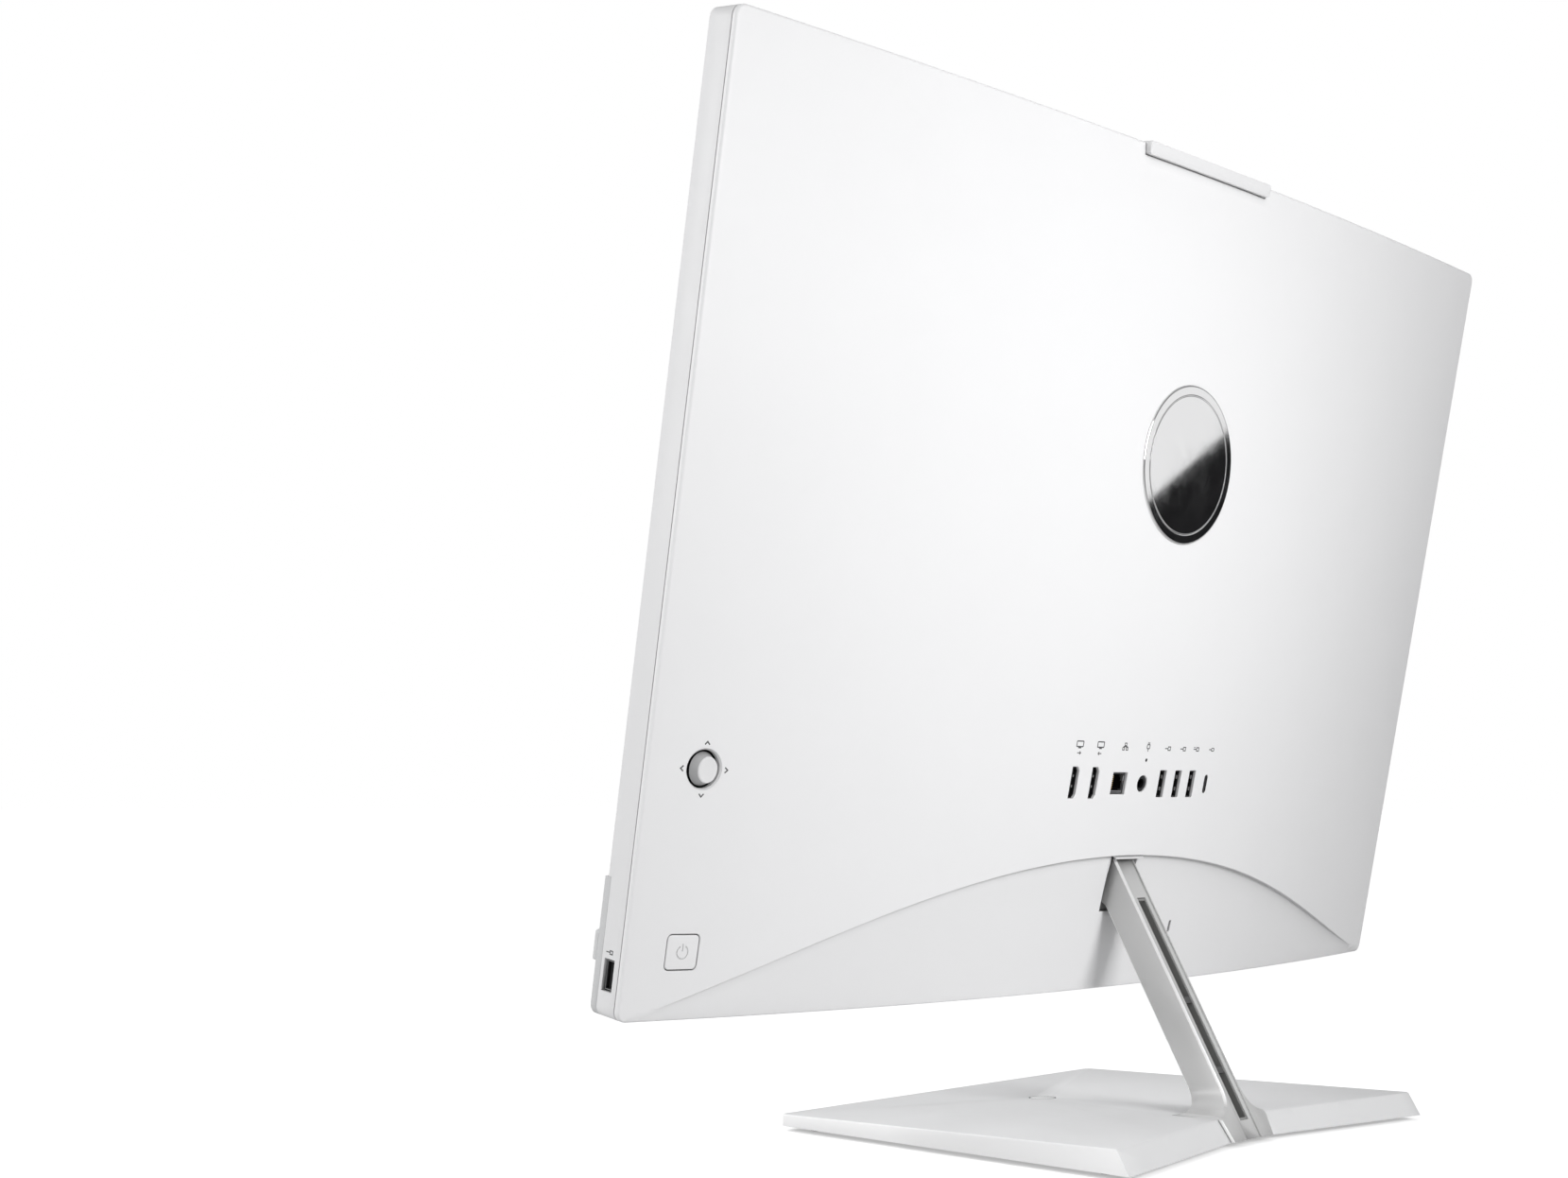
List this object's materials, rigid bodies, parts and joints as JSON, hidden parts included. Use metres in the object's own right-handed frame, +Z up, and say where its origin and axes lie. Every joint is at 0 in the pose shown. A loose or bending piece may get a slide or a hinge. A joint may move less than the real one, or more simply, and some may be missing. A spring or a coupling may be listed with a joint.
{
  "type": "all in one pc",
  "caption": "Desktop all-in-one computer: thin domed display head on a slanted aluminium neck and wedge base, with rear connectors, tilt hinge and pop-up camera.",
  "frame": {"origin": "centre of the base's outline on the desk plane, which is also the bottom centre of the whole object's box", "axes": "+X to the right of a user facing the screen, along the screen's width; +Y to the rear, away from the user; +Z up"},
  "size_m": [0.6126, 0.2018, 0.4676],
  "materials": {
    "white_shell": "fine moulded texture, matt white",
    "silver_trim": "silver grey, satin",
    "black_bezel": "fine grain, matt black",
    "chin_mesh": "fine woven texture, light grey",
    "screen": "anti-glare film over a black panel",
    "diffuser": "milky",
    "steel": "zinc plated, satin",
    "ballast": "painted",
    "satin_aluminium": "bead blasted, clear anodised",
    "dark_plastic": "fine grain, matt",
    "port_black": "matt black inserts and shells",
    "rubber": "matt",
    "circuit_board": "solder mask",
    "copper": "satin copper",
    "lens_glass": "coated lens",
    "emblem_chrome": "mirror polished, plain"
  },
  "bodies": {
    "stand": {"base_plate": "satin_aluminium", "base_ring": "dark_plastic", "base_cover": "dark_plastic", "rubber_feet": "rubber", "base_screws": "steel", "base_weight": "ballast", "neck_screws": "steel", "neck_arm": "satin_aluminium", "cable_channel": "dark_plastic", "cable_clips": "dark_plastic", "hinge_shaft": "steel", "friction_washers": "steel", "hinge_nuts": "steel"},
    "display_head": {"antennas": "copper", "backlight_unit": "diffuser", "board_screws": "steel", "bracket_screws": "steel", "camera_guide": "dark_plastic", "camera_springs": "steel", "chassis_plate": "steel", "chin_panel": "chin_mesh", "chin_rail": "silver_trim", "coin_cell": "steel", "cold_plate": "copper", "dc_jack": "port_black", "display_cable": "dark_plastic", "emblem_disc": "emblem_chrome", "fan_housing": "dark_plastic", "fin_stack": "satin_aluminium", "front_bezel": "black_bezel", "hdmi_ports": "port_black", "heat_pipes": "copper", "hinge_bracket": "steel", "joystick_housing": "dark_plastic", "key_board": "circuit_board", "lan_port": "port_black", "lcd_panel": "screen", "led_light_pipe": "port_black", "lock_insert": "steel", "mainboard": "circuit_board", "panel_tray": "steel", "processor": "circuit_board", "ram_modules": "circuit_board", "rear_cover": "white_shell", "side_frame": "silver_trim", "side_io_board": "circuit_board", "side_usb_port": "port_black", "speaker_left": "dark_plastic", "speaker_right": "dark_plastic", "ssd_module": "circuit_board", "usb_a_ports": "port_black", "usb_c_port": "port_black", "wifi_card": "circuit_board"},
    "camera_module": {"camera_housing": "white_shell", "camera_lens": "lens_glass"},
    "power_button": {"power_button": "white_shell"},
    "joystick_carrier": {"joystick_carrier": "dark_plastic"},
    "joystick_ring": {"joystick_ring": "dark_plastic"},
    "joystick_stick": {"joystick_stick": "white_shell"},
    "fan_rotor": {"fan_rotor": "dark_plastic"}
  },
  "joints": [
    {"name": "display_tilt", "type": "hinge", "parent": "stand", "child": "display_head", "pos_m": [0, -0.00587, 0.10988], "axis": [1, 0, 0], "range_deg": [-10, 11]},
    {"name": "camera_popup", "type": "slide", "parent": "display_head", "child": "camera_module", "axis": [0, 0.1708, 0.9853], "range_m": [0, 0.016]},
    {"name": "power_button_press", "type": "slide", "parent": "display_head", "child": "power_button", "axis": [0, 0.9853, -0.1708], "range_m": [-0.0006, 0], "stiffness_N_per_m": 1500, "springref_m": 0.0002},
    {"name": "joystick_press", "type": "slide", "parent": "display_head", "child": "joystick_carrier", "axis": [0, 0.9853, -0.1708], "range_m": [-0.00035, 0], "stiffness_N_per_m": 4000, "springref_m": 0.0001},
    {"name": "joystick_up_down", "type": "hinge", "parent": "joystick_carrier", "child": "joystick_ring", "pos_m": [0.279, -0.00746, 0.1745], "axis": [1, 0, 0], "range_deg": [-7, 7], "stiffness_Nm_per_rad": 0.02},
    {"name": "joystick_left_right", "type": "hinge", "parent": "joystick_ring", "child": "joystick_stick", "pos_m": [0.279, -0.00746, 0.1745], "axis": [0, 0.1708, 0.9853], "range_deg": [-7, 7], "stiffness_Nm_per_rad": 0.02},
    {"name": "fan_spin", "type": "hinge", "parent": "display_head", "child": "fan_rotor", "pos_m": [-0.163, 0.00939, 0.25064], "axis": [0, 0.9853, -0.1708], "continuous": true}
  ]
}
